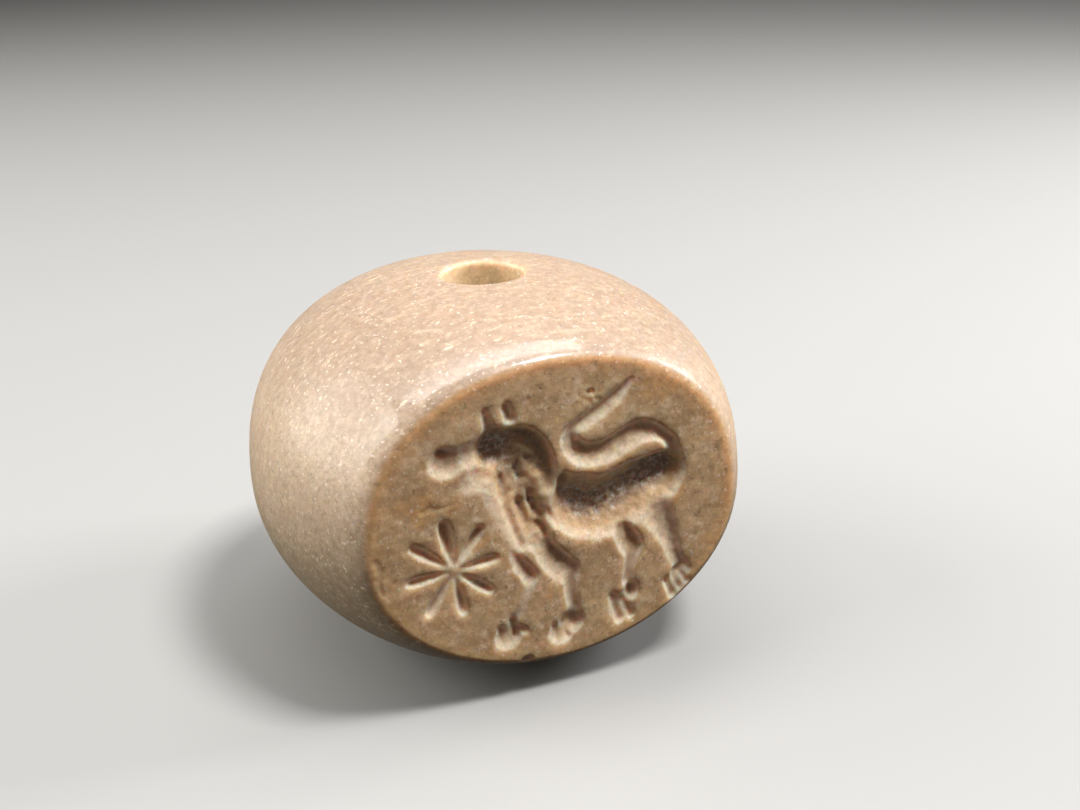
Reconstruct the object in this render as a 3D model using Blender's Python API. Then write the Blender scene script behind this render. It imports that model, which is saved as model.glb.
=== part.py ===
"""Stamp seal: a stone bead with one side ground to an oval face, engraved with a lion and a star.

Metres, +Z up. The bead stands on the small flat round the lower mouth of its string hole, and its
face looks towards -Y. The origin is the middle of the bead's own box, at the foot.
"""

from math import cos, radians, sin

import bpy
import numpy as np

MM = 0.001

# The bead before its face was ground, measured from the string hole at the widest girth
HALF_WIDTH = 13.0 * MM
HALF_DEPTH = 15.2 * MM
CROWN_HEIGHT = 10.6 * MM
FOOT_DEPTH = 9.9 * MM
CROWN_FULLNESS = 2.37  # 2 is an ellipse, and more is flatter on top with a rounder shoulder
FOOT_FULLNESS = 1.97

# What was ground and drilled away
FACE_OUT = 9.8 * MM  # from the hole's middle to the engraved face
RIM_SOFTNESS = 0.35 * MM  # how deep the worn rim of the face reaches back from it
SHOULDER_OUT = 0.6 * MM  # how far in front of the face the worn shoulder round it points
SHOULDER_SOFTNESS = 1.6 * MM
STAND_RADIUS = 4.2 * MM  # half the width of the flat that the seal stands on
STAND_SOFTNESS = 0.12 * MM
BORE_RADIUS = 2.18 * MM
LIP = 0.35 * MM  # the worn round of the hole's two mouths

# The oval that the figures are drawn on, in millimetres. They grow with the real face.
DRAWN_HALF_WIDTH = 9.94
DRAWN_HALF_HEIGHT = 8.17

# Mesh: a fine grid first, then fewer faces where the stone is plain
GRID_STEP = 0.15 * MM
WEAR = 1  # how many times the cuts' depths are evened out between neighbouring points of the grid
BACK_STEP = 5.5  # degrees
CROWN_RINGS = 14
LIP_RINGS = 4
BORE_RINGS = 5
TRIANGLES = 9600

STONE_COLOUR = (0.56, 0.38, 0.24, 1.0)
STONE_ROUGHNESS = 0.38


def clear_scene():
    for obj in list(bpy.data.objects):
        bpy.data.objects.remove(obj, do_unlink=True)


def stone_material():
    material = bpy.data.materials.new("stone")
    material.use_nodes = True
    shader = material.node_tree.nodes["Principled BSDF"]
    shader.inputs["Base Color"].default_value = STONE_COLOUR
    shader.inputs["Roughness"].default_value = STONE_ROUGHNESS
    shader.inputs["Metallic"].default_value = 0.0
    material.diffuse_color = STONE_COLOUR
    return material


def soft_max(a, b, reach):
    """The greater of a and b, with the corner between them rounded over this reach."""
    share = np.clip(0.5 + 0.5 * (a - b) / reach, 0, 1)
    return b + (a - b) * share + reach * share * (1 - share)


# The engraver's tools. A bow-driven wheel cuts grooves, often held aslant so that one wall is steeper,
# and a ball-shaped drill leaves oval hollows. Each gives a depth in drawn millimetres over points (x, z)
# of the face. A slant above 0 widens the groove to the left of its way and narrows it to the right.


def groove(x, z, stations, ease=1):
    """Through stations of (x, z, half width, depth, slant), the slant often left out: depth
    (1 - (distance / half width)^2)^ease, with the half width times 1 + slant on the left and 1 - slant
    on the right. Every value runs evenly from station to station."""
    cut = np.zeros_like(x)
    full = [(*station, 0.0)[:5] for station in stations]
    for (ax, az, aw, ad, a_slant), (bx, bz, bw, bd, b_slant) in zip(full[:-1], full[1:]):
        run_x, run_z = bx - ax, bz - az
        length = np.hypot(run_x, run_z)
        along = np.clip(((x - ax) * run_x + (z - az) * run_z) / length**2, 0, 1)
        off = np.hypot(x - ax - along * run_x, z - az - along * run_z)
        leftward = ((z - az) * run_x - (x - ax) * run_z) / length / np.maximum(off, 1e-6)
        slant = (a_slant + along * (b_slant - a_slant)) * leftward
        half_width = (aw + along * (bw - aw)) * (1 + slant)
        section = np.maximum(0, 1 - (off / half_width) ** 2) ** ease
        cut = np.maximum(cut, (ad + along * (bd - ad)) * section)
    return cut


def hollow(x, z, middle, half_sizes, depth, turn=0.0):
    """depth (1 - u^2 - v^2), with u and v measured along the turned oval's two half sizes."""
    u = (x - middle[0]) * cos(radians(turn)) + (z - middle[1]) * sin(radians(turn))
    v = (z - middle[1]) * cos(radians(turn)) - (x - middle[0]) * sin(radians(turn))
    return depth * np.maximum(0, 1 - (u / half_sizes[0]) ** 2 - (v / half_sizes[1]) ** 2)


def curved(stations, steps=6):
    """More stations on the Catmull-Rom spline through these, a cubic between each pair of neighbours."""
    ends = np.array(stations, float)
    ends = np.vstack([2 * ends[0] - ends[1], ends, 2 * ends[-1] - ends[-2]])
    t = np.arange(steps)[:, None] / steps
    runs = [
        b + 0.5 * ((c - a) * t + (2 * a - 5 * b + 4 * c - d) * t**2 + (3 * b - a - 3 * c + d) * t**3)
        for a, b, c, d in zip(ends[:-3], ends[1:-2], ends[2:-1], ends[3:])
    ]
    return np.vstack(runs + [ends[-2]])


def deepest(*cuts):
    """Where cuts overlap the deepest one shows. Neighbours meet in a slightly worn arris."""
    total = cuts[0]
    for cut in cuts[1:]:
        total = soft_max(total, cut, 0.04)
    return np.where(np.maximum.reduce(cuts) > 0, total, 0)


def worn(cut, times):
    """Wear takes the sharp off every arris: each depth goes halfway to its neighbours' mean, both ways."""
    for _ in range(times):
        cut = cut / 2 + (np.roll(cut, 1, 0) + np.roll(cut, -1, 0)) / 4
        cut = cut / 2 + (np.roll(cut, 1, 1) + np.roll(cut, -1, 1)) / 4
    return cut


# The star. Eight strokes of a thin wheel, each wider and deeper outwards and narrow again at its tip, set
# round a point by eye and so a little uneven.


def star(x, z):
    middle_x, middle_z = -5.5, -1.95
    turn_of_first, reach, half_width, depth = 97, 2.35, 0.37, 0.31
    uneven_turn = (2, 2, -1, -1, 2, 4, -1, -1)
    uneven_reach = (1.1, 1.0, 0.92, 1.0, 1.02, 1.06, 0.96, 1.1)
    rays = []
    for i, (extra_turn, longer) in enumerate(zip(uneven_turn, uneven_reach)):
        turn = np.radians(turn_of_first - 45 * i + extra_turn)
        out = np.array([0.12, 0.45, 0.8, 1.0]) * reach * longer
        stations = np.stack([middle_x + np.cos(turn) * out, middle_z + np.sin(turn) * out], 1)
        section = np.array([(0.3, 0.25), (0.7, 0.75), (1.0, 1.0), (0.6, 0.6)]) * (half_width, depth)
        rays.append(groove(x, z, np.hstack([stations, section]), ease=1.2))
    return deepest(*rays)


# The lion's head. Drilled hollows make the muzzle with its nostril and the skull, and two short wheel
# strokes are the ears.


def head(x, z):
    muzzle = hollow(x, z, (-5.6, 3.75), (1.05, 0.9), 0.32)
    nostril = hollow(x, z, (-5.55, 4.12), (0.65, 0.42), 0.5, turn=-12)
    bridge = [(-5.1, 3.8, 0.8, 0.25), (-4.4, 3.85, 0.95, 0.32), (-3.7, 3.95, 1.2, 0.5)]
    skull = hollow(x, z, (-3.0, 4.0), (1.25, 1.25), 1.0)
    jaw = [(-5.2, 2.3, 0.5, 0.05), (-4.5, 2.4, 0.8, 0.12), (-3.6, 2.9, 1.0, 0.4)]
    near_ear = groove(x, z, [(-3.6, 5.95, 0.24, 0.22), (-3.4, 5.1, 0.32, 0.35)])
    far_ear = groove(x, z, [(-2.52, 6.05, 0.28, 0.3), (-2.35, 5.45, 0.33, 0.36)])
    cheeks = [groove(x, z, stations, ease=1.5) for stations in (bridge, jaw)]
    return deepest(muzzle, nostril, skull, *cheeks, near_ear, far_ear)


# The mane. A deep groove is the nape with its crest, broad ones are the neck and chest, and furrows cut
# down through them are the locks of hair.


def mane(x, z):
    nape = [
        (-2.4, 4.25, 0.85, 0.8, -0.1),
        (-1.6, 4.15, 0.85, 0.75, -0.2),
        (-1.0, 3.6, 0.85, 0.72, -0.3),
        (-0.65, 2.9, 0.85, 0.68, -0.35),
        (-0.55, 2.1, 0.75, 0.6, -0.3),
        (-0.55, 1.3, 0.55, 0.45, -0.2),
    ]
    neck = [
        (-2.3, 3.2, 1.5, 0.65),
        (-2.0, 2.2, 1.45, 0.62),
        (-1.7, 1.2, 1.35, 0.52),
        (-1.45, 0.3, 1.2, 0.45),
        (-1.25, -0.5, 1.0, 0.38),
        (-1.1, -1.2, 0.8, 0.3),
    ]
    chest = [
        (-3.0, 2.8, 1.7, 0.25),
        (-2.6, 1.4, 1.6, 0.2),
        (-2.2, 0.2, 1.4, 0.18),
        (-1.9, -1.0, 1.1, 0.15),
    ]
    fringe = [
        (-3.0, 2.4, 0.3, 0.36),
        (-2.7, 1.2, 0.35, 0.4),
        (-2.35, 0.0, 0.38, 0.38),
        (-1.95, -1.4, 0.3, 0.28),
    ]
    # Each furrow adds its own depth to the cuts there
    furrows = (
        [(-2.42, 2.95, 0.24, 0.2), (-2.15, 2.1, 0.2, 0.12)],
        [(-2.95, 2.5, 0.22, 0.12), (-2.7, 1.4, 0.2, 0.06)],
        [(-2.2, 1.3, 0.28, 0.24), (-1.95, 0.15, 0.26, 0.18), (-1.5, -0.7, 0.22, 0.1), (-1.1, -1.5, 0.1, 0.0)],
        [(-1.45, 1.7, 0.38, 0.34), (-1.1, 0.45, 0.33, 0.26), (-0.85, -0.5, 0.28, 0.16), (-0.5, -1.2, 0.1, 0.0)],
        [(-0.7, 1.2, 0.3, 0.26), (-0.4, 0.05, 0.28, 0.18), (-0.1, -0.7, 0.15, 0.0)],
        [(-1.75, 3.4, 0.4, 0.15), (-1.15, 2.9, 0.35, 0.1)],
        [(-1.05, 2.5, 0.3, 0.12), (-0.85, 1.9, 0.25, 0.08)],
    )
    skin = deepest(
        groove(x, z, curved(nape)),
        groove(x, z, curved(neck)),
        groove(x, z, curved(chest), ease=2),
        groove(x, z, curved(fringe)),
    )
    return skin + np.maximum.reduce([groove(x, z, furrow) for furrow in furrows])


# The trunk and the tail. The back and belly are one broad cut, steep above and easy below. The rump is a
# deep drilled hollow, and the haunch runs from it into the far hind leg. The tail is a curved groove
# that rises from the rump and hooks back on itself.


def trunk(x, z):
    barrel = [
        (0.75, 0.45, 1.2, 0.78, 0.1),
        (1.2, 0.25, 1.9, 0.84, -0.05),
        (2.0, 0.25, 1.95, 0.84, -0.12),
        (3.0, 0.45, 1.95, 0.8, -0.18),
        (4.0, 0.75, 1.85, 0.8, -0.2),
        (5.0, 1.1, 1.6, 0.85, -0.2),
        (5.8, 1.3, 1.3, 0.9, -0.2),
    ]
    haunch = [
        (4.5, 0.3, 1.2, 0.5, -0.1),
        (5.2, -0.5, 1.1, 0.38, -0.15),
        (5.85, -1.3, 1.0, 0.34, -0.3),
        (6.3, -2.1, 0.76, 0.3, -0.45),
        (6.42, -2.9, 0.6, 0.27, -0.45),
        (6.52, -3.6, 0.52, 0.26, -0.4),
        (6.88, -4.3, 0.44, 0.26, -0.4),
    ]
    rump = hollow(x, z, (5.6, 1.3), (1.5, 1.15), 1.1, turn=-8)
    return deepest(rump, groove(x, z, curved(barrel), ease=1.3), groove(x, z, curved(haunch), ease=1.2))


def tail(x, z):
    line = [
        (6.25, 2.1, 0.65, 0.75, 0.0),
        (6.0, 2.95, 0.45, 0.42, 0.1),
        (5.3, 3.55, 0.72, 0.34, 0.4),
        (4.5, 3.85, 0.92, 0.33, 0.52),
        (3.7, 3.7, 0.85, 0.33, 0.5),
        (3.0, 3.4, 0.76, 0.32, 0.42),
        (2.3, 3.15, 0.72, 0.36, 0.42),
        (1.6, 3.15, 0.7, 0.38, 0.42),
        (1.1, 3.45, 0.64, 0.36, 0.42),
        (0.88, 3.9, 0.54, 0.28, 0.5),
        (0.95, 4.35, 0.46, 0.24, 0.1),
        (1.35, 4.75, 0.48, 0.24, -0.55),
        (2.0, 5.1, 0.55, 0.25, -0.62),
        (2.9, 5.6, 0.52, 0.24, -0.62),
        (3.4, 5.95, 0.45, 0.2, -0.58),
        (3.9, 6.35, 0.26, 0.12, -0.4),
    ]
    return groove(x, z, curved(line))


# The legs. Each is cut steep behind and easy in front, with a wedge for the thigh, a thin shin and a
# drilled paw with strokes for its toes.


def legs(x, z):
    far_fore_leg = [
        (-2.3, -1.5, 0.3, 0.18, -0.2),
        (-2.0, -2.15, 0.42, 0.3, -0.35),
        (-1.6, -2.75, 0.48, 0.31, -0.4),
        (-1.65, -3.4, 0.48, 0.21, -0.35),
        (-1.9, -4.2, 0.4, 0.17, -0.2),
        (-2.15, -4.9, 0.36, 0.16, 0.0),
        (-2.45, -5.3, 0.32, 0.18, 0.0),
    ]
    near_fore_leg = [
        (-1.35, -0.3, 0.45, 0.36, -0.4),
        (-0.85, -1.1, 0.65, 0.38, -0.6),
        (-0.3, -1.75, 0.8, 0.34, -0.68),
        (0.3, -2.4, 0.86, 0.3, -0.7),
        (0.75, -3.0, 0.8, 0.24, -0.62),
        (0.68, -3.7, 0.6, 0.24, -0.45),
        (0.64, -4.5, 0.48, 0.24, -0.35),
        (0.76, -5.3, 0.42, 0.25, -0.3),
        (0.7, -5.8, 0.4, 0.25, 0.0),
    ]
    near_hind_leg = [
        (3.3, -0.95, 0.38, 0.26, -0.4),
        (3.78, -1.6, 0.6, 0.34, -0.55),
        (4.2, -2.35, 0.66, 0.33, -0.6),
        (4.15, -3.0, 0.56, 0.26, -0.5),
        (3.92, -3.8, 0.44, 0.22, -0.3),
        (3.82, -4.6, 0.4, 0.22, -0.2),
    ]
    toe_strokes = (
        [(-3.25, -5.75, 0.2, 0.26), (-3.1, -6.5, 0.24, 0.34)],
        [(-2.6, -5.45, 0.27, 0.34), (-2.45, -6.3, 0.3, 0.44)],
        [(-2.3, -5.9, 0.22, 0.34), (-1.9, -6.15, 0.2, 0.2)],
        [(-0.35, -6.25, 0.2, 0.25), (-0.15, -7.05, 0.22, 0.3)],
        [(0.15, -6.3, 0.2, 0.34), (0.4, -7.05, 0.22, 0.32)],
        [(2.9, -5.3, 0.27, 0.24), (3.3, -6.7, 0.33, 0.34)],
        [(3.5, -5.6, 0.24, 0.32), (3.95, -6.6, 0.27, 0.3)],
        [(6.95, -4.2, 0.25, 0.24), (7.25, -4.75, 0.2, 0.17)],
        [(5.95, -5.05, 0.25, 0.24), (6.35, -6.0, 0.3, 0.3)],
        [(6.4, -4.9, 0.22, 0.3), (6.75, -5.65, 0.24, 0.25)],
        [(6.8, -4.8, 0.2, 0.28), (7.15, -5.4, 0.2, 0.2)],
    )
    return deepest(
        *[groove(x, z, curved(leg)) for leg in (far_fore_leg, near_fore_leg, near_hind_leg)],
        *[groove(x, z, stroke) for stroke in toe_strokes],
        hollow(x, z, (-2.85, -6.3), (0.85, 0.8), 0.28),
        hollow(x, z, (0.68, -6.0), (0.5, 0.45), 0.48),
        hollow(x, z, (0.15, -6.7), (0.95, 0.85), 0.28),
        hollow(x, z, (3.95, -5.2), (0.45, 0.65), 0.42),
        hollow(x, z, (3.35, -6.0), (0.8, 0.9), 0.22),
        hollow(x, z, (6.6, -4.65), (0.45, 0.35), 0.38),
    )


def carving(x, z):
    """All the figures, from the middle of the face, in drawn millimetres."""
    return worn(deepest(*[figure(x, z) for figure in (star, head, mane, trunk, tail, legs)]), WEAR)


# The stone


def girth_share(height, full_height, fullness):
    """The bead's plan at this height, as a share of its plan at the girth."""
    return (1 - (np.abs(height) / full_height) ** fullness) ** (1 / fullness)


def skin_height(x, y, full_height, fullness):
    """How far above or below the girth the bead's skin lies over a plan point."""
    share = np.clip(np.hypot(x / HALF_WIDTH, y / HALF_DEPTH), 0, 1)
    return full_height * (1 - share**fullness) ** (1 / fullness)


def face_sizes():
    """The ground face's half width, and its top and bottom heights from the girth."""
    share = FACE_OUT / HALF_DEPTH
    half_width = HALF_WIDTH * np.sqrt(1 - share**2)
    top = CROWN_HEIGHT * (1 - share**CROWN_FULLNESS) ** (1 / CROWN_FULLNESS)
    bottom = -FOOT_DEPTH * (1 - share**FOOT_FULLNESS) ** (1 / FOOT_FULLNESS)
    return half_width, top, bottom


def column_angles(half_width):
    """Angles round the bead from the face's middle: even steps across the face, wide ones behind."""
    reach = half_width + 3 * GRID_STEP
    front = np.arcsin(np.linspace(-reach, reach, 2 * round(reach / GRID_STEP)) / HALF_WIDTH)
    open_angle = 2 * np.pi - 2 * front[-1]
    count = round(open_angle / np.radians(BACK_STEP))
    back = front[-1] + open_angle * np.arange(1, count) / count
    return np.concatenate([front, back])


def ring(angles, share, roundness):
    """Plan points of one ring: the bead's own oval, or a circle where roundness is 1."""
    half_width = HALF_WIDTH * share
    half_depth = half_width + (HALF_DEPTH - HALF_WIDTH) * share * (1 - roundness)
    return half_width * np.sin(angles), -half_depth * np.cos(angles)


def cap_rings(angles, from_share, full_height, fullness):
    """Rings from the face's edge in to the hole's lip, over the crown or under the foot."""
    to_share = (BORE_RADIUS + LIP) / HALF_WIDTH
    rings = []
    for step in np.arange(1, CROWN_RINGS + 1) / CROWN_RINGS:
        x, y = ring(angles, from_share + (to_share - from_share) * step, step**2)
        rings.append((x, y, skin_height(x, y, full_height, fullness)))
    return rings


def lip_rings(angles, edge_height):
    """A quarter round from the cap down into the hole."""
    rings = []
    for turn in np.radians(90) * np.arange(1, LIP_RINGS + 1) / LIP_RINGS:
        radius = BORE_RADIUS + LIP * (1 - np.sin(turn))
        height = edge_height - LIP * (1 - np.cos(turn))
        rings.append((radius * np.sin(angles), -radius * np.cos(angles), height))
    return rings


def seal_rings():
    """Closed rings of points, from the face's top over the crown, down the hole and back up."""
    half_width, top, bottom = face_sizes()
    angles = column_angles(half_width)
    stand = -skin_height(STAND_RADIUS, 0.0, FOOT_DEPTH, FOOT_FULLNESS)

    top, bottom = top + 2 * GRID_STEP, bottom - 2 * GRID_STEP
    band = []
    for height in np.linspace(bottom, top, round((top - bottom) / GRID_STEP)):
        sizes = (CROWN_HEIGHT, CROWN_FULLNESS) if height > 0 else (FOOT_DEPTH, FOOT_FULLNESS)
        share = girth_share(height, *sizes)
        x, y = ring(angles, share, 0.0)
        band.append((x, y, np.full_like(x, height)))

    crown = cap_rings(angles, girth_share(top, CROWN_HEIGHT, CROWN_FULLNESS), CROWN_HEIGHT, CROWN_FULLNESS)
    upper_lip = lip_rings(angles, crown[-1][2])

    foot = cap_rings(angles, girth_share(bottom, FOOT_DEPTH, FOOT_FULLNESS), FOOT_DEPTH, FOOT_FULLNESS)
    foot = [(x, y, soft_max(-depth, stand, STAND_SOFTNESS)) for x, y, depth in foot]
    lower_lip = [(x, y, -depth) for x, y, depth in lip_rings(angles, -foot[-1][2])]

    bore = []
    for step in np.arange(1, BORE_RINGS + 1) / (BORE_RINGS + 1):
        height = upper_lip[-1][2] + (lower_lip[-1][2] - upper_lip[-1][2]) * step
        bore.append((upper_lip[-1][0], upper_lip[-1][1], height))

    rings = band + crown + upper_lip + bore + lower_lip[::-1] + foot[::-1]
    x, y, z = (np.array([one[i] for one in rings]) for i in range(3))
    return x, y, z, stand


def engraved(x, y, z):
    """The points with the face ground flat and the figures cut into it."""
    half_width, top, bottom = face_sizes()
    drawn_x = x / half_width * DRAWN_HALF_WIDTH
    drawn_z = (z - (top + bottom) / 2) / (top - bottom) * 2 * DRAWN_HALF_HEIGHT
    depth = carving(drawn_x, drawn_z) * half_width / DRAWN_HALF_WIDTH
    shoulder = soft_max(y, -FACE_OUT - SHOULDER_OUT, SHOULDER_SOFTNESS)
    return np.where(y < 0, soft_max(shoulder, -FACE_OUT + depth, RIM_SOFTNESS), y)


def grid_mesh(name, x, y, z):
    """A mesh that closes on itself along both directions of the grid."""
    rows, columns = x.shape
    index = np.arange(rows * columns).reshape(rows, columns)
    right = np.roll(index, -1, axis=1)
    up = np.roll(index, -1, axis=0)
    faces = np.stack([index, right, np.roll(right, -1, axis=0), up], axis=-1).reshape(-1, 4)
    mesh = bpy.data.meshes.new(name)
    mesh.from_pydata(np.stack([x, y, z], axis=-1).reshape(-1, 3).tolist(), [], faces.tolist())
    mesh.validate()
    mesh.shade_smooth()
    return mesh


def build_seal():
    x, y, z, stand = seal_rings()
    y = engraved(x, y, z)
    middle_y = (HALF_DEPTH - FACE_OUT) / 2
    mesh = grid_mesh("seal_stone", x, y - middle_y, z - stand)
    seal = bpy.data.objects.new("seal_stone", mesh)
    bpy.context.scene.collection.objects.link(seal)
    seal.data.materials.append(stone_material())
    fewer = seal.modifiers.new("Fewer faces where it is plain", "DECIMATE")
    fewer.ratio = TRIANGLES / (2 * len(mesh.polygons))
    return seal


clear_scene()
build_seal()
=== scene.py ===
"""The looks of a stamp seal: a bead of tan stone with a flat face, engraved with a lion and a star."""

from math import cos, radians, sin

import bpy
import numpy as np
from mathutils import Matrix, Vector


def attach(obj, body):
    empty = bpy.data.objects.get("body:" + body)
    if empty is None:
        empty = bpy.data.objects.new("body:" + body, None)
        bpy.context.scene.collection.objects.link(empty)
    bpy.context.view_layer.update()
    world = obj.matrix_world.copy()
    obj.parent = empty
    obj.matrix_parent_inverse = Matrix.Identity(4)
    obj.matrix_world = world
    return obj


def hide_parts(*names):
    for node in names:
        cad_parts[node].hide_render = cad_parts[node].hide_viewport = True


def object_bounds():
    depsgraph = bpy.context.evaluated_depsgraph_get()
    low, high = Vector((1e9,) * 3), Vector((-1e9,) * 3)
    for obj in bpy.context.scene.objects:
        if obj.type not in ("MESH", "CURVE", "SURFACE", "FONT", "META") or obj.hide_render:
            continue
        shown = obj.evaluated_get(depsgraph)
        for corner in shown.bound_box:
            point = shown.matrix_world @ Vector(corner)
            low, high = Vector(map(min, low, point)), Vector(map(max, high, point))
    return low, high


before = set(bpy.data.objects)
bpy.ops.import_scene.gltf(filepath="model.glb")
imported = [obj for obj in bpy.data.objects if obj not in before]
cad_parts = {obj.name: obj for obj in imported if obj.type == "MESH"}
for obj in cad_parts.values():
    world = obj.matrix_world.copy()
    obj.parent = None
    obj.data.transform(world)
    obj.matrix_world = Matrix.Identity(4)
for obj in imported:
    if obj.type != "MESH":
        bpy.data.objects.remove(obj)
cad_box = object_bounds()


# The bead. A pebble of fine stone was ground to an egg shape, a little fuller above than below, and
# drilled upright with a hand drill. All points of it are worked out in millimetres from the string
# hole at the widest girth.

HALF_WIDTH = 13.0
HALF_DEPTH = 15.2
CROWN_HEIGHT, CROWN_FULLNESS = 10.6, 2.37
FOOT_DEPTH, FOOT_FULLNESS = 9.9, 1.97
STAND_RADIUS, STAND_SOFTNESS = 4.2, 0.25
BORE_RADIUS, LIP = 2.18, 0.35


def girth_share(height, full_height, fullness):
    """(1 - |height / full height| ^ fullness) ^ (1 / fullness): the plan there, as a share of the girth."""
    return (1 - (np.abs(height) / full_height) ** fullness) ** (1 / fullness)


def skin_height(x, y, full_height, fullness):
    """The same curve turned round: how far the skin lies from the girth over a plan point."""
    return full_height * girth_share(np.clip(np.hypot(x / HALF_WIDTH, y / HALF_DEPTH), 0, 1), 1, fullness)


def ring(angles, share, roundness):
    """An oval of this share of the girth. Its depth shrinks to its width as roundness goes to 1."""
    half_width = HALF_WIDTH * share
    half_depth = half_width + (HALF_DEPTH - HALF_WIDTH) * share * (1 - roundness)
    return half_width * np.sin(angles), -half_depth * np.cos(angles)


def cap_rings(angles, from_height, full_height, fullness, count=26):
    """Rings from a height in to the hole's lip, with the skin's height over each. They grow round inwards."""
    step = np.arange(1, count + 1)[:, None] / count
    from_share = girth_share(from_height, full_height, fullness)
    x, y = ring(angles, from_share + ((BORE_RADIUS + LIP) / HALF_WIDTH - from_share) * step, step**2)
    return x, y, skin_height(x, y, full_height, fullness)


def lip_rings(angles, edge_height, count=6):
    """A quarter round from the skin into the hole: radius falls by LIP sin(turn), height by LIP (1 - cos)."""
    turn = np.radians(90) * np.arange(1, count + 1)[:, None] / count
    radius = BORE_RADIUS + LIP * (1 - np.sin(turn))
    return radius * np.sin(angles), -radius * np.cos(angles), edge_height - LIP * (1 - np.cos(turn))


# The sealing face. One side of the bead is ground off flat, 9.8 mm in front of the hole. Its rim has
# worn soft, and the oval it leaves is the ground for the figures.

FACE_OUT = 9.8
SHOULDER_OUT, SHOULDER_SOFTNESS = 0.6, 1.6
RIM_SOFTNESS = 0.3
face_share = FACE_OUT / HALF_DEPTH
face_half_width = HALF_WIDTH * np.sqrt(1 - face_share**2)
face_top = CROWN_HEIGHT * girth_share(face_share, 1, CROWN_FULLNESS)
face_bottom = -FOOT_DEPTH * girth_share(face_share, 1, FOOT_FULLNESS)
face_middle = (face_top + face_bottom) / 2


# The engraver's tools. A bow-driven wheel cuts grooves, often held aslant so that one wall is steeper,
# and a ball-shaped drill leaves oval hollows. Each gives its depth in millimetres over points (x, z) of
# the face. A slant above 0 widens the groove to the left of its way and narrows it to the right.


def groove(x, z, stations, ease=1):
    """Through stations of (x, z, half width, depth, slant), the slant often left out: depth
    (1 - (distance / half width)^2)^ease, with the half width times 1 + slant on the left and 1 - slant
    on the right. Every value runs evenly from station to station."""
    cut = np.zeros_like(x)
    full = [(*station, 0.0)[:5] for station in stations]
    for (ax, az, aw, ad, a_slant), (bx, bz, bw, bd, b_slant) in zip(full[:-1], full[1:]):
        run_x, run_z = bx - ax, bz - az
        length = np.hypot(run_x, run_z)
        along = np.clip(((x - ax) * run_x + (z - az) * run_z) / length**2, 0, 1)
        off = np.hypot(x - ax - along * run_x, z - az - along * run_z)
        leftward = ((z - az) * run_x - (x - ax) * run_z) / length / np.maximum(off, 1e-6)
        slant = (a_slant + along * (b_slant - a_slant)) * leftward
        half_width = (aw + along * (bw - aw)) * (1 + slant)
        section = np.maximum(0, 1 - (off / half_width) ** 2) ** ease
        cut = np.maximum(cut, (ad + along * (bd - ad)) * section)
    return cut


def hollow(x, z, middle, half_sizes, depth, turn=0.0):
    """depth (1 - u^2 - v^2), with u and v measured along the turned oval's two half sizes."""
    u = (x - middle[0]) * cos(radians(turn)) + (z - middle[1]) * sin(radians(turn))
    v = (z - middle[1]) * cos(radians(turn)) - (x - middle[0]) * sin(radians(turn))
    return depth * np.maximum(0, 1 - (u / half_sizes[0]) ** 2 - (v / half_sizes[1]) ** 2)


def curved(stations, steps=6):
    """More stations on the Catmull-Rom spline through these, a cubic between each pair of neighbours."""
    ends = np.array(stations, float)
    ends = np.vstack([2 * ends[0] - ends[1], ends, 2 * ends[-1] - ends[-2]])
    t = np.arange(steps)[:, None] / steps
    runs = [
        b + 0.5 * ((c - a) * t + (2 * a - 5 * b + 4 * c - d) * t**2 + (3 * b - a - 3 * c + d) * t**3)
        for a, b, c, d in zip(ends[:-3], ends[1:-2], ends[2:-1], ends[3:])
    ]
    return np.vstack(runs + [ends[-2]])


def soft_max(a, b, reach):
    """The greater of a and b. Within reach of each other a parabola rounds the corner between them."""
    share = np.clip(0.5 + 0.5 * (a - b) / reach, 0, 1)
    return b + (a - b) * share + reach * share * (1 - share)


def deepest(*cuts):
    """Where cuts overlap the deepest one shows. Neighbours meet in a slightly worn arris."""
    total = cuts[0]
    for cut in cuts[1:]:
        total = soft_max(total, cut, 0.04)
    return np.where(np.maximum.reduce(cuts) > 0, total, 0)


def worn(cut, times):
    """Wear takes the sharp off every arris: each depth goes halfway to its neighbours' mean, both ways."""
    for _ in range(times):
        cut = cut / 2 + (np.roll(cut, 1, 0) + np.roll(cut, -1, 0)) / 4
        cut = cut / 2 + (np.roll(cut, 1, 1) + np.roll(cut, -1, 1)) / 4
    return cut


# The star. Eight strokes of a thin wheel, each wider and deeper outwards and narrow again at its tip, set
# round a point by eye and so a little uneven.


def star(x, z):
    middle_x, middle_z = -5.5, -1.95
    turn_of_first, reach, half_width, depth = 97, 2.35, 0.37, 0.31
    uneven_turn = (2, 2, -1, -1, 2, 4, -1, -1)
    uneven_reach = (1.08, 1.04, 0.92, 1.0, 1.02, 1.06, 0.96, 1.1)
    uneven_width = (1.05, 0.85, 0.8, 0.9, 0.85, 0.85, 0.9, 0.9)
    uneven_depth = (1.7, 1.35, 1.0, 1.0, 1.1, 1.1, 0.95, 1.0)
    unevenness = zip(uneven_turn, uneven_reach, uneven_width, uneven_depth)
    rays = []
    for i, (extra_turn, longer, wider, deeper) in enumerate(unevenness):
        turn = np.radians(turn_of_first - 45 * i + extra_turn)
        out = np.array([0.12, 0.45, 0.8, 0.98]) * reach * longer
        places = np.stack([middle_x + np.cos(turn) * out, middle_z + np.sin(turn) * out], 1)
        swelling = np.array([(0.35, 0.3), (0.75, 0.8), (1.0, 1.0), (0.85, 0.85)])
        sections = swelling * (half_width * wider, depth * deeper)
        rays.append(groove(x, z, np.hstack([places, sections]), ease=1.2))
    return deepest(*rays)


# The lion's head. Drilled hollows make the muzzle with its nostril and the skull, and two short wheel
# strokes are the ears.


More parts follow.
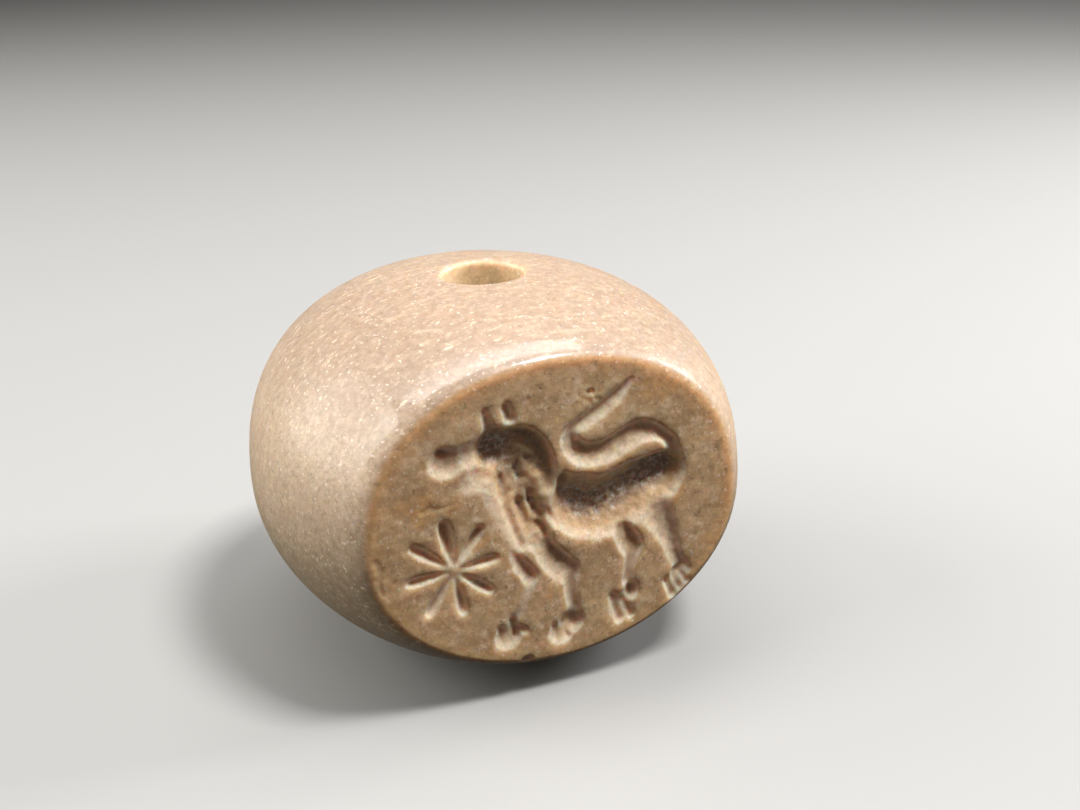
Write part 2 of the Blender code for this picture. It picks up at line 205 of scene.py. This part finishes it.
def head(x, z):
    muzzle = hollow(x, z, (-5.6, 3.75), (1.05, 0.9), 0.32)
    nostril = hollow(x, z, (-5.72, 4.2), (0.5, 0.38), 0.48, turn=-20)
    bridge = [(-5.1, 3.85, 0.75, 0.2), (-4.4, 3.9, 0.85, 0.24), (-3.7, 3.95, 1.1, 0.45)]
    skull = hollow(x, z, (-3.0, 3.92), (1.3, 1.3), 1.1)
    jaw = [(-5.2, 2.3, 0.5, 0.05), (-4.5, 2.4, 0.8, 0.12), (-3.6, 2.9, 1.0, 0.4)]
    near_ear = groove(x, z, [(-3.6, 5.95, 0.24, 0.22), (-3.4, 5.1, 0.32, 0.35)])
    far_ear = groove(x, z, [(-2.52, 6.05, 0.28, 0.3), (-2.35, 5.45, 0.33, 0.36)])
    cheeks = [groove(x, z, stations, ease=1.5) for stations in (bridge, jaw)]
    return deepest(muzzle, nostril, skull, *cheeks, near_ear, far_ear)


# The mane. A deep groove is the nape with its crest, broad ones are the neck and chest, and furrows cut
# down through them are the locks of hair.


def mane(x, z):
    nape = [
        (-2.3, 4.5, 0.62, 0.75, -0.1),
        (-1.5, 4.35, 0.62, 0.7, -0.2),
        (-0.9, 3.8, 0.62, 0.66, -0.3),
        (-0.52, 3.05, 0.6, 0.62, -0.35),
        (-0.42, 2.3, 0.55, 0.55, -0.3),
        (-0.45, 1.5, 0.45, 0.4, -0.2),
    ]
    neck = [
        (-2.3, 3.2, 1.5, 0.65),
        (-2.0, 2.2, 1.45, 0.62),
        (-1.7, 1.2, 1.35, 0.52),
        (-1.45, 0.3, 1.2, 0.45),
        (-1.25, -0.5, 1.0, 0.38),
        (-1.1, -1.2, 0.8, 0.3),
    ]
    chest = [
        (-3.0, 2.8, 1.7, 0.25),
        (-2.6, 1.4, 1.6, 0.2),
        (-2.2, 0.2, 1.4, 0.18),
        (-1.9, -1.0, 1.1, 0.15),
    ]
    fringe = [
        (-3.0, 2.4, 0.3, 0.36),
        (-2.7, 1.2, 0.35, 0.4),
        (-2.35, 0.0, 0.38, 0.38),
        (-1.95, -1.4, 0.3, 0.28),
    ]
    # Each furrow adds its own depth to the cuts there
    furrows = (
        [(-2.1, 3.0, 0.12, 0.04), (-1.98, 2.6, 0.2, 0.28), (-1.85, 2.1, 0.2, 0.2), (-1.75, 1.6, 0.1, 0.0)],
        [(-2.9, 2.65, 0.12, 0.04), (-2.8, 2.15, 0.24, 0.26), (-2.62, 1.35, 0.22, 0.2), (-2.45, 0.8, 0.1, 0)],
        [(-2, 1.25, 0.1, 0.04), (-1.9, 0.75, 0.27, 0.34), (-1.72, -0.1, 0.25, 0.24), (-1.45, -0.9, 0.1, 0)],
        [(-1.45, 1.45, 0.1, 0.04), (-1.25, 0.8, 0.28, 0.42), (-0.97, 0.1, 0.25, 0.32), (-0.75, -0.4, 0.1, 0)],
        [(-0.55, 0.5, 0.1, 0.04), (-0.32, -0.05, 0.22, 0.34), (-0.02, -0.65, 0.2, 0.24), (0.2, -1.0, 0.1, 0)],
        [(-1.2, -0.1, 0.1, 0.02), (-1.0, -0.45, 0.22, 0.26), (-0.6, -1.1, 0.22, 0.24), (-0.35, -1.6, 0.1, 0)],
        [(-1.5, 3.4, 0.15, 0.05), (-1.25, 3.0, 0.36, 0.3), (-0.9, 2.5, 0.34, 0.2), (-0.7, 2.0, 0.15, 0.0)],
    )
    skin = deepest(
        groove(x, z, curved(nape)),
        groove(x, z, curved(neck)),
        groove(x, z, curved(chest), ease=2),
        groove(x, z, curved(fringe)),
    )
    return skin + np.maximum.reduce([groove(x, z, furrow) for furrow in furrows])


# The trunk and the tail. The back and belly are one broad cut, steep above and easy below, with a short
# upright one at the shoulder. The rump is the deepest, and the haunch runs from it into the far hind leg.
# The tail is a curved groove that rises from the rump and hooks back on itself.


def trunk(x, z):
    barrel = [
        (0.8, 0.85, 1.15, 0.76, 0.0),
        (1.2, 0.4, 1.75, 0.84, -0.05),
        (2.0, 0.12, 1.88, 0.84, -0.12),
        (3.0, 0.35, 1.9, 0.8, -0.18),
        (4.0, 0.75, 1.85, 0.8, -0.2),
        (4.9, 1.05, 1.6, 0.8, -0.25),
    ]
    shoulder = [(0.38, 1.75, 0.42, 0.6), (0.4, 0.9, 0.5, 0.76), (0.5, 0.2, 0.5, 0.66)]
    rump = [
        (4.5, 1.2, 1.6, 0.85, -0.3),
        (5.3, 1.35, 1.62, 1.18, -0.38),
        (5.92, 1.52, 1.08, 1.15, -0.2),
    ]
    haunch = [
        (5.0, 0.2, 1.3, 0.34, -0.1),
        (5.35, -0.55, 1.15, 0.28, -0.2),
        (5.85, -1.4, 0.9, 0.29, -0.35),
        (6.2, -2.2, 0.7, 0.31, -0.45),
        (6.4, -2.9, 0.56, 0.29, -0.45),
        (6.54, -3.6, 0.47, 0.27, -0.4),
        (6.88, -4.3, 0.42, 0.27, -0.4),
    ]
    return deepest(
        groove(x, z, curved(barrel), ease=1.3),
        groove(x, z, shoulder),
        groove(x, z, curved(rump), ease=1.8),
        groove(x, z, curved(haunch), ease=1.2),
    )


def tail(x, z):
    line = [
        (6.35, 2.2, 0.4, 0.32, 0.0),
        (6.1, 2.85, 0.38, 0.3, 0.1),
        (5.55, 3.4, 0.46, 0.3, 0.3),
        (4.9, 3.75, 0.66, 0.32, 0.42),
        (4.3, 3.82, 0.74, 0.32, 0.45),
        (3.6, 3.58, 0.76, 0.32, 0.45),
        (3.0, 3.27, 0.74, 0.32, 0.42),
        (2.3, 3.07, 0.72, 0.36, 0.42),
        (1.6, 3.13, 0.7, 0.38, 0.42),
        (1.1, 3.45, 0.62, 0.36, 0.42),
        (0.88, 3.9, 0.5, 0.28, 0.5),
        (0.95, 4.35, 0.42, 0.24, 0.1),
        (1.35, 4.73, 0.42, 0.24, -0.5),
        (2.0, 5.1, 0.46, 0.26, -0.55),
        (2.9, 5.65, 0.45, 0.26, -0.55),
        (3.4, 6.0, 0.38, 0.22, -0.5),
        (3.95, 6.4, 0.24, 0.12, -0.4),
    ]
    return groove(x, z, curved(line))


# The legs. Each is cut steep behind and easy in front, with a wedge for the thigh, a thin shin and a
# drilled paw with strokes for its toes. The far hind leg is the haunch's end, and has only its paw here.


def legs(x, z):
    far_fore_leg = [
        (-2.4, -1.7, 0.3, 0.14, -0.2),
        (-1.97, -2.35, 0.42, 0.26, -0.35),
        (-1.45, -3.02, 0.5, 0.29, -0.45),
        (-1.45, -3.5, 0.42, 0.14, -0.35),
        (-1.75, -4.1, 0.36, 0.08, -0.2),
        (-2.05, -4.8, 0.33, 0.08, 0.0),
        (-2.45, -5.3, 0.3, 0.17, 0.0),
    ]
    near_fore_leg = [
        (-1.1, -0.7, 0.35, 0.24, -0.4),
        (-0.62, -1.4, 0.58, 0.34, -0.6),
        (-0.07, -2.1, 0.74, 0.36, -0.68),
        (0.48, -2.75, 0.76, 0.32, -0.7),
        (0.84, -3.3, 0.66, 0.23, -0.62),
        (0.74, -4.0, 0.44, 0.29, -0.45),
        (0.72, -4.7, 0.38, 0.29, -0.35),
        (0.82, -5.4, 0.38, 0.28, -0.3),
        (0.7, -5.8, 0.4, 0.25, 0.0),
    ]
    near_hind_leg = [
        (3.3, -0.95, 0.35, 0.2, -0.4),
        (3.8, -1.65, 0.62, 0.4, -0.52),
        (4.25, -2.45, 0.68, 0.4, -0.6),
        (4.2, -3.1, 0.48, 0.32, -0.5),
        (3.92, -3.8, 0.34, 0.32, -0.3),
        (3.78, -4.6, 0.32, 0.32, -0.2),
    ]
    toes = (
        [(-3.25, -5.75, 0.2, 0.26), (-3.1, -6.5, 0.24, 0.34)],
        [(-2.6, -5.45, 0.27, 0.34), (-2.45, -6.3, 0.3, 0.44)],
        [(-2.3, -5.9, 0.22, 0.34), (-1.9, -6.15, 0.2, 0.2)],
        [(-0.35, -6.25, 0.2, 0.25), (-0.15, -7.05, 0.22, 0.3)],
        [(0.15, -6.3, 0.2, 0.34), (0.4, -7.05, 0.22, 0.32)],
        [(2.9, -5.3, 0.27, 0.24), (3.3, -6.7, 0.33, 0.34)],
        [(3.5, -5.6, 0.24, 0.32), (3.95, -6.6, 0.27, 0.3)],
        [(6.95, -4.2, 0.25, 0.24), (7.25, -4.75, 0.2, 0.17)],
        [(5.95, -5.05, 0.25, 0.24), (6.35, -6.0, 0.3, 0.3)],
        [(6.4, -4.9, 0.22, 0.3), (6.75, -5.65, 0.24, 0.25)],
        [(6.8, -4.8, 0.2, 0.28), (7.15, -5.4, 0.2, 0.2)],
    )
    paws = (
        ((-2.85, -6.3), (0.85, 0.8), 0.28),
        ((0.58, -6.25), (0.8, 0.75), 0.44),
        ((0.0, -6.75), (0.8, 0.78), 0.26),
        ((3.95, -5.2), (0.45, 0.65), 0.42),
        ((3.35, -6.0), (0.8, 0.9), 0.22),
        ((6.6, -4.65), (0.45, 0.35), 0.38),
    )
    return deepest(
        *[groove(x, z, curved(leg)) for leg in (far_fore_leg, near_fore_leg, near_hind_leg)],
        *[groove(x, z, toe) for toe in toes],
        *[hollow(x, z, *paw) for paw in paws],
    )


# Wear since it was cut. The stone has a small pit above the tail, shallow scratches by the ears and over
# the star, scuffs down the left rim, and a notch broken out of the lower rim.


def marks(x, z):
    pit = hollow(x, z, (1.85, 6.12), (0.2, 0.15), 0.1)
    notch = hollow(x, z, (-1.9, -7.85), (0.4, 0.3), 0.28)
    lines = (
        [(-1.42, 6.35, 0.12, 0.03), (-1.72, 5.4, 0.12, 0.03)],
        [(-7.0, 1.5, 0.12, 0.01), (-6.5, 1.6, 0.14, 0.02), (-6.1, 1.5, 0.12, 0.02), (-5.4, 1.6, 0.12, 0.01)],
        [(-9.35, -0.6, 0.16, 0.05), (-9.15, -1.1, 0.14, 0.03), (-9.3, -1.7, 0.2, 0.05), (-9.1, -2.5, 0.1, 0)],
        [(-8.6, -4.1, 0.14, 0.03), (-8.3, -4.7, 0.16, 0.04)],
    )
    return deepest(pit, notch, *[groove(x, z, line) for line in lines])


# The stone itself, with the face ground and the figures cut. It is one closed skin: rings of points run
# from the foot over the girth and the crown, down the hole and back out under the foot.

GRID_STEP = 0.088
BACK_STEP_DEGREES = 2.4

reach = face_half_width + 3 * GRID_STEP
front = np.arcsin(np.linspace(-reach, reach, 2 * round(reach / GRID_STEP)) / HALF_WIDTH)
open_angle = 2 * np.pi - 2 * front[-1]
back_count = round(open_angle / np.radians(BACK_STEP_DEGREES))
angles = np.concatenate([front, front[-1] + open_angle * np.arange(1, back_count) / back_count])

band_bottom, band_top = face_bottom - 2 * GRID_STEP, face_top + 2 * GRID_STEP
heights = np.linspace(band_bottom, band_top, round((band_top - band_bottom) / GRID_STEP))[:, None]
shares = np.where(
    heights > 0,
    girth_share(heights, CROWN_HEIGHT, CROWN_FULLNESS),
    girth_share(heights, FOOT_DEPTH, FOOT_FULLNESS),
)
band_x, band_y = ring(angles, shares, 0.0)
band = (band_x, band_y, heights + 0 * band_x)

stand = -skin_height(STAND_RADIUS, 0.0, FOOT_DEPTH, FOOT_FULLNESS)
crown = cap_rings(angles, band_top, CROWN_HEIGHT, CROWN_FULLNESS)
upper_lip = lip_rings(angles, crown[2][-1])
foot_x, foot_y, foot_drop = cap_rings(angles, band_bottom, FOOT_DEPTH, FOOT_FULLNESS)
foot = (foot_x, foot_y, soft_max(-foot_drop, stand, STAND_SOFTNESS))
lower_lip = lip_rings(angles, -foot[2][-1])
lower_lip = (lower_lip[0], lower_lip[1], -lower_lip[2])

down = np.arange(1, 9)[:, None] / 9
bore = tuple(upper_lip[i][-1] + (lower_lip[i][-1] - upper_lip[i][-1]) * down for i in range(3))

runs = [band, crown, upper_lip, bore, tuple(p[::-1] for p in lower_lip), tuple(p[::-1] for p in foot)]
x, y, z = (np.vstack([run[i] for run in runs]) for i in range(3))


def waves(x, z, height, length, seed, count=14):
    """An uneven field over the face, about this high both ways: sine waves of about this length, added."""
    dice = np.random.default_rng(seed)
    aims = dice.normal(size=(count, 3))
    aims /= np.linalg.norm(aims, axis=1, keepdims=True)
    starts = dice.uniform(0, 2 * np.pi, count)
    sizes = 2 * np.pi / length * dice.uniform(0.7, 1.4, count)
    total = sum(
        np.sin(size * (x * aim[0] + z * aim[2]) + start)
        for aim, start, size in zip(aims, starts, sizes)
    )
    return height * (total / np.sqrt(count))


# The figures with their worn arrises. Floors are a little rough, and patches of the deep ones are broken
drawn_z = z - face_middle
figures = deepest(*[figure(x, drawn_z) for figure in (star, head, mane, trunk, tail, legs)])
figures = deepest(worn(figures, 2), marks(x, drawn_z))
rough_share = waves(x, z, height=0.04, length=0.6, seed=3) + waves(x, z, height=0.02, length=0.3, seed=4)
deep_share = np.clip((figures - 0.45) / 0.3, 0, 1)
patches = np.clip(0.5 + waves(x, z, height=1.0, length=2.5, seed=9), 0, 1)
broken_floor = waves(x, z, height=0.045, length=0.45, seed=8) + waves(x, z, height=0.03, length=0.28, seed=10)
cut_depth = np.maximum(figures * (1 + rough_share) + deep_share * patches * broken_floor, 0)

# The ground face swells and dips a little and is finely pitted, and more so beside the tail's tip
swell = waves(x, z, height=0.02, length=6.0, seed=5)
pitting = waves(x, z, height=0.006, length=0.9, seed=6) + waves(x, z, height=0.003, length=0.35, seed=7)
scuff = hollow(x, drawn_z, (1.75, 5.85), (0.9, 0.6), 0.03) * waves(x, z, height=1.0, length=0.3, seed=11)
face_y = -FACE_OUT + swell + (scuff + pitting) + cut_depth
shoulder = soft_max(y, -FACE_OUT - SHOULDER_OUT, SHOULDER_SOFTNESS)
ground_y = soft_max(shoulder, face_y, RIM_SOFTNESS * np.clip(0.75 + z / 16, 0.4, 1))

# How far each point belongs to the ground face, its rim, the polished band above it, and the hole. The
# band comes in from 4 to 7 mm over the girth and fades out from 2 to 5 mm to the right
inside = face_y - shoulder
in_front = y < 0
on_face = np.clip(0.5 + inside / 0.3, 0, 1) * in_front
at_rim = np.exp(-((inside / 0.5) ** 2)) * in_front
polish_reach = np.clip((z - 4) / 3, 0, 1) * np.clip((5 - x) / 3, 0, 1)
polished = np.exp(-(((inside + 0.7) / 0.65) ** 2)) * in_front * polish_reach
y = np.where(in_front, ground_y, y)
in_bore = np.clip((BORE_RADIUS + 0.2 - np.hypot(x, y)) / 0.15, 0, 1)

# The frame's origin is under the middle of the bead's box, at the foot
to_frame = np.array([0, -(HALF_DEPTH - FACE_OUT) / 2, -stand])
points = (np.stack([x, y, z], -1) + to_frame) / 1000
rows, columns = x.shape
index = np.arange(rows * columns).reshape(rows, columns)
right, up = np.roll(index, -1, 1), np.roll(index, -1, 0)
quads = np.stack([index, right, np.roll(right, -1, 0), up], -1).reshape(-1, 4)

stone_mesh = bpy.data.meshes.new("engraved_stone")
stone_mesh.from_pydata(points.reshape(-1, 3).tolist(), [], quads.tolist())
stone_mesh.shade_smooth()
measures = {
    "ground_face": on_face,
    "cut_depth": cut_depth * on_face,
    "face_rim": at_rim,
    "string_hole": in_bore,
    "polish": polished,
}
for name, values in measures.items():
    layer = stone_mesh.attributes.new(name, "FLOAT", "POINT")
    layer.data.foreach_set("value", values.astype(np.float32).ravel())
stone = bpy.data.objects.new("engraved_stone", stone_mesh)
bpy.context.scene.collection.objects.link(stone)
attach(stone, "root")
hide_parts("seal_stone")


# The stone's finish. A fine-grained tan stone with pale and dark specks, softly polished. Its old outer skin
# is creamy, and the ground face is browner. The cuts are browner still, partly from fresh stone and partly
# from painted shade.

finish = bpy.data.materials.new("tan_stone")
finish.use_nodes = True
nodes, links = finish.node_tree.nodes, finish.node_tree.links
shader = nodes["Principled BSDF"]


def node(kind, inputs=(), **settings):
    """A node with its settings. Each input is given by name or number, as a value or as another's output."""
    made = nodes.new(kind)
    for name, value in settings.items():
        setattr(made, name, value)
    for name, value in dict(inputs).items():
        if isinstance(value, bpy.types.NodeSocket):
            links.new(value, made.inputs[name])
        else:
            made.inputs[name].default_value = value
    return made


def blend(amount, first, second, mode="MIX"):
    """Mixes two colours by an amount from 0 to 1."""
    mixed = node("ShaderNodeMix", {0: amount, 6: first, 7: second}, data_type="RGBA", blend_type=mode)
    return mixed.outputs[2]


def ramp(value, low, high):
    """0 at low, 1 at high and smooth between. It stays so beyond them, also where low is the greater."""
    inputs = {"Value": value, "From Min": low, "From Max": high}
    return node("ShaderNodeMapRange", inputs, interpolation_type="SMOOTHSTEP").outputs["Result"]


place = node("ShaderNodeTexCoord").outputs["Object"]
in_mm = node("ShaderNodeMapping", {"Vector": place, "Scale": (1000, 1000, 1000)}).outputs["Vector"]


def mottle(scale, detail=3.0, roughness=0.6, vector=in_mm):
    """Noise with this many features to a millimetre."""
    inputs = {"Vector": vector, "Scale": scale, "Detail": detail, "Roughness": roughness}
    return node("ShaderNodeTexNoise", inputs).outputs["Fac"]


def measure(name):
    """One of the values that the mesh carries at each point."""
    return node("ShaderNodeAttribute", attribute_name=name).outputs["Fac"]


ground, depth = measure("ground_face"), measure("cut_depth")

# The outer skin is creamy and lightest on the flanks, with faint fibres and short pale flecks along them. Its
# crown is darkened with painted shade, and it turns browner towards the foot
CREAM, WARM_CREAM = (0.56, 0.42, 0.3, 1), (0.5, 0.37, 0.26, 1)
CROWN_PAINTED_SHADE, FOOT_TAN = (0.29, 0.205, 0.152, 1), (0.3, 0.225, 0.145, 1)
PALE_FIBRE, DARK_FIBRE, FLECK = (0.62, 0.485, 0.36, 1), (0.4, 0.29, 0.2, 1), (0.62, 0.5, 0.39, 1)
skin = blend(ramp(mottle(0.2, 4), 0.35, 0.68), CREAM, WARM_CREAM)
rise = node("ShaderNodeSeparateXYZ", {"Vector": in_mm}).outputs["Z"]
# Painted shade: from 13 mm up the crown's skin is blended three quarters of the way to a dark tan, fully so
# above 17.5 mm
skin = blend(ramp(rise, 17.5, 13.0), blend(0.75, skin, CROWN_PAINTED_SHADE), skin)
skin = blend(ramp(rise, 12.0, 7.0), skin, FOOT_TAN)
grain_way = {"Vector": in_mm, "Rotation": (0, 0.2, 0.5), "Scale": (0.45, 1.2, 1.2)}
along = node("ShaderNodeMapping", grain_way).outputs["Vector"]
fibres = mottle(2.2, 5, 0.7, along)
skin = blend(ramp(fibres, 0.45, 0.9), skin, PALE_FIBRE)
skin = blend(ramp(fibres, 0.5, 0.2), skin, DARK_FIBRE)
skin = blend(ramp(mottle(2.4, 1, 0.5, along), 0.68, 0.78), skin, FLECK)

# The ground face is brown with lighter and rusty clouds, and its rim is painted honey as the warm glow of
# light through the thin edge
LIGHT_BROWN, BROWN = (0.72, 0.5, 0.3, 1), (0.54, 0.36, 0.21, 1)
PALE_CLOUD, DARK_CLOUD = (0.74, 0.57, 0.41, 1), (0.46, 0.32, 0.2, 1)
RUST, HONEY_GLOW = (0.64, 0.37, 0.17, 1), (0.66, 0.41, 0.2, 1)
face = blend(ramp(mottle(0.5, 5), 0.38, 0.62), LIGHT_BROWN, BROWN)
face = blend(ramp(mottle(1.3, 4), 0.5, 0.7), face, PALE_CLOUD)
face = blend(ramp(mottle(1.7, 5), 0.53, 0.72), face, DARK_CLOUD)
face = blend(ramp(mottle(0.35, 3), 0.57, 0.72), face, RUST)
# Painted glow: the rim is tinted honey where light shines through the thin edge
face = blend(measure("face_rim"), face, HONEY_GLOW)
colour = blend(ground, skin, face)

# Fresh stone shows in the cuts and in the string hole, palest at their edges. Deeper down the cuts carry
# painted shade: warm orange-brown on the walls for the glow of light through the stone, and darker on the
# floors. The broken floors of the deepest cuts are speckled white, partly pale grains and partly painted
# glints
CUT_EDGE, CUT_WALL_SHADE_GLOW, CUT_FLOOR_SHADE = (0.82, 0.65, 0.48, 1), (0.66, 0.44, 0.26, 1), (0.52, 0.35, 0.25, 1)
WHITE_GRAIN_AND_GLINT, BORE_YELLOW = (0.82, 0.72, 0.65, 1), (0.64, 0.5, 0.32, 1)
colour = blend(ramp(depth, 0.02, 0.1), colour, CUT_EDGE)
# Painted shade and glow: mid-depth cut walls turn a warm orange-brown
colour = blend(ramp(depth, 0.1, 0.45), colour, CUT_WALL_SHADE_GLOW)
# Painted shade: the deepest floors darken further
colour = blend(ramp(depth, 0.45, 0.95), colour, CUT_FLOOR_SHADE)
# Partly painted glints: white specks on the deep floors, partly pale grains
speckle = ramp(mottle(4.2, 3, 0.7), 0.5, 0.6)
deep = ramp(depth, 0.45, 0.85)
both = node("ShaderNodeMath", {0: speckle, 1: deep}, operation="MULTIPLY").outputs["Value"]
colour = blend(both, colour, WHITE_GRAIN_AND_GLINT)
colour = blend(measure("string_hole"), colour, BORE_YELLOW)

# The whole stone has a fine grain, with scattered pale and dark specks
DIMMER, BRIGHTER = (0.84, 0.82, 0.8, 1), (1.16, 1.18, 1.2, 1)
PALE_SPECK, DARK_SPECK = (0.95, 0.87, 0.76, 1), (0.1, 0.06, 0.035, 1)
grain = blend(ramp(mottle(2.6, 6, 0.75), 0.3, 0.7), DIMMER, BRIGHTER)
colour = blend(1.0, colour, grain, "MULTIPLY")
colour = blend(ramp(mottle(4.5, 2), 0.63, 0.7), colour, blend(0.45, colour, PALE_SPECK))
colour = blend(ramp(mottle(3.4, 2), 0.63, 0.72), colour, blend(0.3, colour, DARK_SPECK))
links.new(colour, shader.inputs["Base Color"])

# Light sinks about a millimetre in. The skin is softly polished, and most on the band above the face
sheen = {"Value": mottle(1.2, 4), "To Min": 0.32, "To Max": 0.55}
links.new(node("ShaderNodeMapRange", sheen).outputs["Result"], shader.inputs["Roughness"])
relief = node("ShaderNodeBump", {"Height": mottle(5.0, 5), "Strength": 0.35, "Distance": 0.00005})
links.new(relief.outputs["Normal"], shader.inputs["Normal"])
shader.inputs["Subsurface Weight"].default_value = 0.8
shader.inputs["Subsurface Radius"].default_value = (1.0, 0.5, 0.22)
shader.inputs["Subsurface Scale"].default_value = 0.001
gloss = node("ShaderNodeMapRange", {"Value": measure("polish"), "To Min": 0.12, "To Max": 1.0})
links.new(gloss.outputs["Result"], shader.inputs["Coat Weight"])
shader.inputs["Coat Roughness"].default_value = 0.08
stone_mesh.materials.append(finish)


# The studio. A plain pale floor under the seal, a small soft light above and in front, a long one
# overhead, a broad one on the left, and a weak one on the right.

FLOOR_REACH = 2.0

corners = FLOOR_REACH * np.array([(-1, -1, 0), (1, -1, 0), (1, 1, 0), (-1, 1, 0)])
floor_mesh = bpy.data.meshes.new("floor")
floor_mesh.from_pydata(corners.tolist(), [], [(0, 1, 2, 3)])
floor = bpy.data.objects.new("floor", floor_mesh)
bpy.context.scene.collection.objects.link(floor)
paper = bpy.data.materials.new("pale_paper")
paper.use_nodes = True
paper_shader = paper.node_tree.nodes["Principled BSDF"]
paper_shader.inputs["Base Color"].default_value = (0.3, 0.3, 0.3, 1)
paper_shader.inputs["Roughness"].default_value = 0.9
floor_mesh.materials.append(paper)
floor.visible_diffuse = False
floor.visible_glossy = False

middle = (Vector(cad_box[0]) + Vector(cad_box[1])) / 2


def soft_light(name, direction, distance, width, depth, power, tint):
    """A flat lamp of this width and depth, at this distance and facing the seal."""
    lamp = bpy.data.lights.new(name, "AREA")
    lamp.shape = "RECTANGLE"
    lamp.size, lamp.size_y = width, depth
    lamp.energy = power
    lamp.color = tint
    lit = bpy.data.objects.new(name, lamp)
    bpy.context.scene.collection.objects.link(lit)
    way = Vector(direction).normalized()
    lit.location = middle + way * distance
    lit.rotation_euler = way.to_track_quat("Z", "Y").to_euler()


WHITE, WARM_WHITE, COOL_WHITE = (1.0, 0.98, 0.95), (1.0, 0.98, 0.91), (1.0, 0.98, 0.97)
soft_light("key", (0.28, -0.31, 0.9), distance=0.3, width=0.07, depth=0.07, power=1.2, tint=WHITE)
soft_light("strip", (-0.03, 0.22, 0.97), distance=0.3, width=0.36, depth=0.1, power=0.62, tint=COOL_WHITE)
soft_light("right", (0.9, -0.05, 0.45), distance=0.25, width=0.1, depth=0.1, power=0.6, tint=WHITE)
soft_light("left", (-0.85, 0.32, 0.45), distance=0.35, width=0.3, depth=0.3, power=1.6, tint=WARM_WHITE)

world = bpy.data.worlds.new("room")
world.use_nodes = True
sky = world.node_tree.nodes["Background"]
sky.inputs["Color"].default_value = (0.85, 0.8, 0.74, 1)
sky.inputs["Strength"].default_value = 0.1
bpy.context.scene.world = world
bpy.context.scene.view_settings.view_transform = "Standard"


# The camera. It stands where the photograph was taken from: to the left of the face, looking down on it
# from 21 degrees, with the string hole's middle at a known pixel of the 1080 by 810 frame.

PHOTO_WIDTH, PHOTO_HEIGHT = 1080, 810
FOCAL_PIXELS = 1370.0
AIM_PIXEL = (490.6, 454.4)
TURN, RISE, ROLL = radians(-21.384), radians(21.466), radians(-1.727)
DISTANCE = 76.1 / 1000

towards = Vector((sin(TURN) * cos(RISE), -cos(TURN) * cos(RISE), sin(RISE)))
level = (-towards).cross(Vector((0, 0, 1))).normalized()
upright = level.cross(-towards)
side = cos(ROLL) * level + sin(ROLL) * upright
over = cos(ROLL) * upright - sin(ROLL) * level
off_x = (AIM_PIXEL[0] - PHOTO_WIDTH / 2) / FOCAL_PIXELS
off_y = (AIM_PIXEL[1] - PHOTO_HEIGHT / 2) / FOCAL_PIXELS
hole_middle = Vector((to_frame / 1000).tolist())
lens = bpy.data.cameras.new("camera")
lens.sensor_width = 36
lens.lens = FOCAL_PIXELS * 36 / PHOTO_WIDTH
lens.clip_start = 0.005
camera = bpy.data.objects.new("camera", lens)
bpy.context.scene.collection.objects.link(camera)
turned = Matrix((side, over, towards)).transposed().to_4x4()
stands_at = hole_middle + DISTANCE * (towards - off_x * side + off_y * over)
camera.matrix_world = Matrix.Translation(stands_at) @ turned
bpy.context.scene.camera = camera
